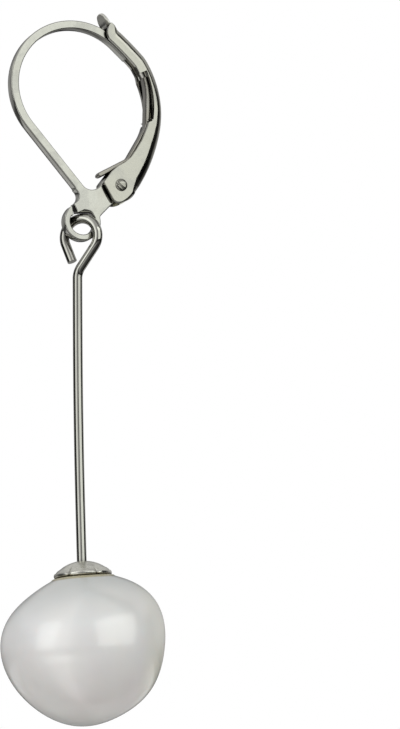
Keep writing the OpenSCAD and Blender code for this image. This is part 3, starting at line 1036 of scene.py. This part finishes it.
# %% Spring leaf
LEAF_T, LEAF_W, LEAF_EDGE = 0.34, 0.8, 0.1
LEAF_FOOT, LEAF_HEADING = (1.29, -10.03), 29
LEAF_PATH = [[2.05, 0.8, -31], [2.15, 1.2, -28], [1.7, 4, -14], [0.5, 0, 0]]
TONGUE_STEPS = (0.165, 0.15, 0.12, 0.08, 0.04)
leaf_line, leaf_turns, _ = walk(LEAF_FOOT, LEAF_HEADING, LEAF_PATH, step=0.06)
tongue = np.array([leaf_line[0] - towards(LEAF_HEADING) * d for d in TONGUE_STEPS])
leaf_line = np.vstack([tongue, leaf_line])
leaf_turns = np.r_[[LEAF_HEADING] * len(tongue), leaf_turns]
from_tip = lengths_along(leaf_line) + 0.005
from_end = from_tip[-1] - from_tip + 0.02
leaf_thicks = LEAF_T * rounded(from_tip / (LEAF_T / 2)) * rounded(from_end / LEAF_EDGE)
leaf_skin = strip(leaf_line, leaf_turns, [LEAF_W] * len(leaf_line), leaf_thicks)
settle(raw("spring_leaf_bent", *leaf_skin), "clasp", "spring_leaf", shaded_leaf_silver)

# %% Rivet
RIVET_HEAD_D, RIVET_HEAD_H, RIVET_PLAY, SHANK_R = 0.83, 0.16, 0.01, 0.26
DOME_DROP, SLIP_DEPTH, SLIP_W = 0.075, 0.05, 0.055
SLIP_ACROSS, SLIP_AT = (-0.64, -0.77), 0.13
head_face = LEVER_W / 2 + RIVET_PLAY
head_top, head = head_face + RIVET_HEAD_H, RIVET_HEAD_D / 2
dome_radii = np.linspace(0.02, head - 0.06, 19)
half_profile = [[r, head_top - DOME_DROP * (r / dome_radii[-1]) ** 2] for r in dome_radii]
half_profile += [
    [head - 0.03, head_top - 0.1], [head - 0.01, head_top - 0.125], [head, head_face], [SHANK_R, head_face],
]
rivet_rows = []
for r, y in [[r, -y] for r, y in half_profile] + half_profile[::-1]:
    x, z = disc((0, 0), r, 96).T
    slipped = SLIP_DEPTH * np.exp(-((x * SLIP_ACROSS[0] + z * SLIP_ACROSS[1] - SLIP_AT) / SLIP_W) ** 2)
    slipped *= (y < 0) * (r < head - 0.02)
    rivet_rows.append(columns([PIVOT[0] + x, y + slipped, PIVOT[1] + z]))
settle(raw("closed_rivet", *skin(rivet_rows)), "clasp", "rivet", rivet_silver)

# %% [markdown]
# ## The bead cap
# The cap is punched from thin sheet: six domed petals round a hole, with a lip turned down on the pearl.
# What repeats round a stem is Geometry Nodes' own work, so one petal is made by rule and the tree sets it
# six times round and welds the seams. A roll along the rim and pressed valleys between the petals catch the
# light.

# %% One petal
PETALS, CROWN_R, CAP_HOLE_R = 6, 2.5, 0.37
PETAL_COLUMNS, PETAL_RINGS = 30, 18
LIP_OUT, NOTCH_IN, NOTCH_UP = 0.11, 0.1, 0.12
VALLEY_DEPTH, VALLEY_L, ROLL_H, ROLL_W = 0.17, 0.55, 0.05, 0.14
half_angle = pi / PETALS
petal_rows = []
for u in np.sin(np.linspace(-pi / 2, pi / 2, PETAL_COLUMNS)):
    valley_here = 1 - (1 - min(1, abs(u)) ** 8) ** 0.5
    edge_r = CAP_R - LIP_OUT - NOTCH_IN * valley_here
    radii = np.linspace(CAP_HOLE_R, edge_r, PETAL_RINGS)
    to_rim = edge_r - radii
    pressed = VALLEY_DEPTH * abs(u) ** 7 * np.clip(1 - to_rim / VALLEY_L, 0, 1) ** 1.3
    rolled = ROLL_H * (1 - abs(u) ** 8) * np.exp(-((to_rim - 0.1) / ROLL_W) ** 2)
    top = np.sqrt(CROWN_R ** 2 - radii ** 2) - CROWN_R
    outside = columns([radii, top - pressed + rolled])
    inner_radii = np.minimum(radii, CAP_R - CAP_T)
    inside = columns([inner_radii, np.sqrt((CROWN_R - CAP_T) ** 2 - inner_radii ** 2) - CROWN_R])
    lip_top = outside[-1, 1]
    low = -CAP_H + NOTCH_UP * valley_here
    middle = (lip_top - 0.06 + low + 0.04) / 2
    lip = [
        (0.05, lip_top - 0.015), (0.09, lip_top - 0.05), (0.108, lip_top - 0.1), (LIP_OUT, middle),
        (0.1, low + 0.06), (0.07, low + 0.02), (0.02, low), (-0.05, low), (-0.09, low + 0.03),
    ]
    ring = [*outside, *((edge_r + out, z) for out, z in lip), *inside[::-1]]
    lon = u * half_angle
    petal_rows.append([(r * cos(lon), r * sin(lon), z) for r, z in ring])
one_petal = blank("petal", *skin(petal_rows, closed=False))
print("one petal:", len(one_petal.data.polygons), "faces")

# %% A tree that sets petals round a stem
PETAL_WELD = 0.002 * MM
petal_inputs = [["Petals", "Int", PETALS], ["Weld Distance", "Float", PETAL_WELD]]
ring_tree, given, petal_out = shape_tree("Petals round a stem", petal_inputs)
full_share = sums(ring_tree, "DIVIDE", 2 * pi, given["Petals"])
number = added(ring_tree, "InputIndex")[0]
turn_each = added(ring_tree, "CombineXYZ", {"Z": sums(ring_tree, "MULTIPLY", number, full_share)})[0]
places = added(ring_tree, "Points", {"Count": given["Petals"]})[0]
copies = added(ring_tree, "InstanceOnPoints", {
    "Points": places, "Instance": given["Geometry"], "Rotation": turn_each,
})[0]
copies = added(ring_tree, "RealizeInstances", {0: copies})[0]
weld = added(ring_tree, "MergeByDistance", {"Geometry": copies, "Distance": given["Weld Distance"]})
ended(ring_tree, given, petal_out, weld[0])

# %% [markdown]
# The pearl's top is crooked, and a real cap is pressed down on it until its lip follows. Each point of the
# lip looks straight down for the pearl's skin and is drawn towards it.

# %% Bead cap
LIP_H, LIP_IN, LIP_GAP = 0.22, 0.16, 0.03
LOOK_FROM, MOST_UP, MOST_DOWN = 0.5, -0.1, 0.25
petal_values = {"Petals": PETALS, "Weld Distance": PETAL_WELD, "Finish": cap_silver}
bead_cap = grown("petal_cap", one_petal, ring_tree, petal_values)
tilt = Matrix(CAP_TILT.tolist()) @ Matrix.Rotation(FACE_TURN, 3, "Z")
bead_cap.data.transform(Matrix.Translation(on_stem(CAP_TOP) * MM) @ tilt.to_4x4())
pearl_skin = BVHTree.FromObject(pearl, bpy.context.evaluated_depsgraph_get())
down, crown = -Vector(cap_axis), Vector(on_stem(CAP_TOP))
for vertex in bead_cap.data.vertices:
    off = vertex.co / MM - crown
    depth = off.dot(down)
    share = (depth - (CAP_H - LIP_H)) / LIP_H
    if share > 0:
        across = (off - down * depth).normalized() * (CAP_R - LIP_IN)
        start = crown + across + down * (CAP_H - LOOK_FROM)
        _, _, _, away = pearl_skin.ray_cast(start * MM, down)
        further = max(MOST_UP, min(MOST_DOWN, away / MM - LOOK_FROM - LIP_GAP))
        vertex.co += down * min(share, 1) * further * MM
settle(bead_cap, "drop", "bead_cap", cap_silver)
